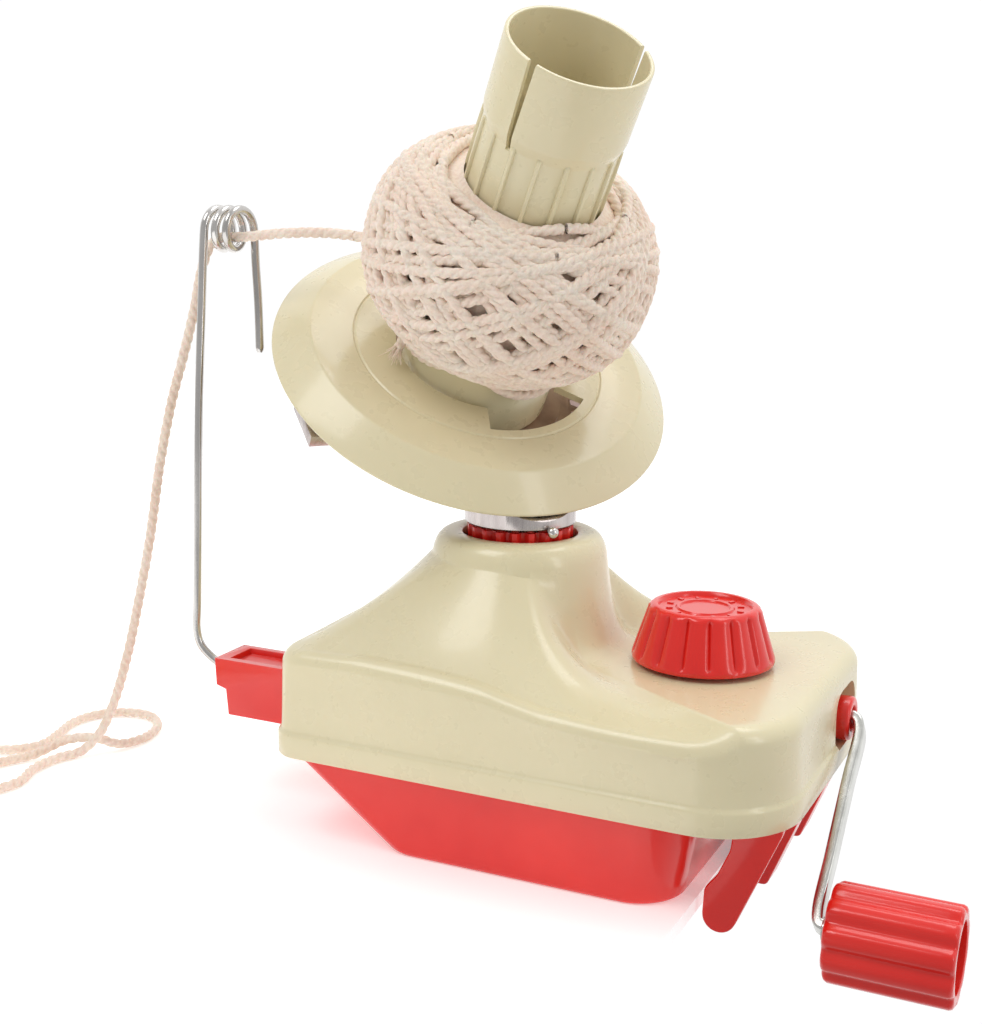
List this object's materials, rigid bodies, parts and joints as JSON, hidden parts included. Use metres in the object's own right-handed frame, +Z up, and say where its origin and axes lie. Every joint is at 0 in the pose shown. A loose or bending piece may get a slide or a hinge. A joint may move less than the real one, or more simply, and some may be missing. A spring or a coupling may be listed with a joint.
{
  "type": "hand-cranked yarn ball winder",
  "caption": "Hand-cranked table-edge winder with a tilted winding cone on a turning disc, a side crank, a clamp screw, a wire yarn guide and a part-wound ball of yarn.",
  "frame": {"origin": "on the table face under the base, midway along the body", "axes": "+X along the body towards the crank, +Z up from the table; the yarn guide arm is at -X"},
  "size_m": [0.3437, 0.1811, 0.2541],
  "materials": {
    "cream_plastic": "soft gloss",
    "red_plastic": "gloss",
    "steel": "polished",
    "zinc": "satin",
    "cup_metal": "satin",
    "bronze": "satin",
    "rubber": "matt",
    "cotton_yarn": "matt"
  },
  "bodies": {
    "body": {"top_cover": "cream_plastic", "base_tray": "red_plastic", "fence_finger_1": "red_plastic", "fence_finger_2": "red_plastic", "fence_finger_3": "red_plastic", "fence_finger_4": "red_plastic", "cover_screw_1": "steel", "cover_screw_2": "steel", "cover_screw_3": "steel", "cover_screw_4": "steel", "center_post": "steel", "fixed_gear": "bronze", "post_cap": "steel", "idler_pin": "steel", "guide_holder": "red_plastic", "crank_bush_1": "bronze", "crank_bush_2": "bronze", "yarn_lead_outer": "cotton_yarn", "yarn_lead_inner": "cotton_yarn", "yarn_tail": "cotton_yarn", "yarn_coil": "cotton_yarn"},
    "crank": {"crank_shaft": "steel", "drive_gear": "red_plastic", "crank_hub": "red_plastic", "crank_arm": "zinc", "grip_cap": "steel"},
    "grip": {"handle_grip": "red_plastic"},
    "idler": {"idler_gear": "red_plastic"},
    "rotor": {"rotor_sleeve": "steel", "rotor_pinion": "red_plastic", "lower_bush": "bronze", "upper_bush": "bronze", "rotor_hub_ring": "red_plastic", "rotor_cup": "cup_metal", "cup_set_screw": "steel", "disc_plate": "cream_plastic", "disc_screw_1": "steel", "disc_screw_2": "steel", "tilted_axle": "steel", "axle_nut": "steel"},
    "cone": {"cone_gear": "bronze", "winding_cone": "red_plastic", "cone_bush_lower": "bronze", "cone_bush_upper": "bronze", "yarn_ball": "cotton_yarn", "yarn_end": "cotton_yarn"},
    "knob": {"clamp_knob": "red_plastic", "clamp_screw": "steel"},
    "jaw": {"clamp_jaw": "zinc", "jaw_nut": "steel", "jaw_pad": "rubber"},
    "guide": {"guide_wire": "steel", "guide_clip": "steel"}
  },
  "joints": [
    {"name": "crank_turn", "type": "hinge", "parent": "body", "child": "crank", "pos_m": [0, 0.018, 0.038], "axis": [1, 0, 0], "continuous": true},
    {"name": "grip_spin", "type": "hinge", "parent": "crank", "child": "grip", "pos_m": [0.1, -0.027, -0.006], "axis": [1, 0, 0], "continuous": true},
    {"name": "idler_spin", "type": "hinge", "parent": "body", "child": "idler", "pos_m": [0.00544, 0.018, 0], "axis": [0, 0, 1], "continuous": true},
    {"name": "rotor_spin", "type": "hinge", "parent": "body", "child": "rotor", "pos_m": [-0.0215, 0, 0.09], "axis": [0, 0, 1], "continuous": true, "deforming": ["yarn_lead_inner"]},
    {"name": "cone_spin", "type": "hinge", "parent": "rotor", "child": "cone", "pos_m": [-0.0215, 0, 0.1804], "axis": [0.442, -0.3611, 0.8211], "continuous": true},
    {"name": "knob_turn", "type": "hinge", "parent": "body", "child": "knob", "pos_m": [0.0363, 0, 0.06], "axis": [0, 0, 1], "range_deg": [0, 2810]},
    {"name": "jaw_slide", "type": "slide", "parent": "body", "child": "jaw", "axis": [0, 0, -1], "range_m": [0, 0.0234]},
    {"name": "guide_swing", "type": "hinge", "parent": "body", "child": "guide", "pos_m": [-0.07, -0.025, 0.0385], "axis": [1, 0, 0], "range_deg": [-20, 90], "deforming": ["yarn_lead_outer", "yarn_tail"]}
  ],
  "couplings": [
    {"joint": "idler_spin", "follows": "crank_turn", "ratio": 2},
    {"joint": "rotor_spin", "follows": "crank_turn", "ratio": -4},
    {"joint": "cone_spin", "follows": "crank_turn", "ratio": -1.0526},
    {"joint": "knob_turn", "follows": "jaw_slide", "rad_per_m": 2094.4}
  ]
}
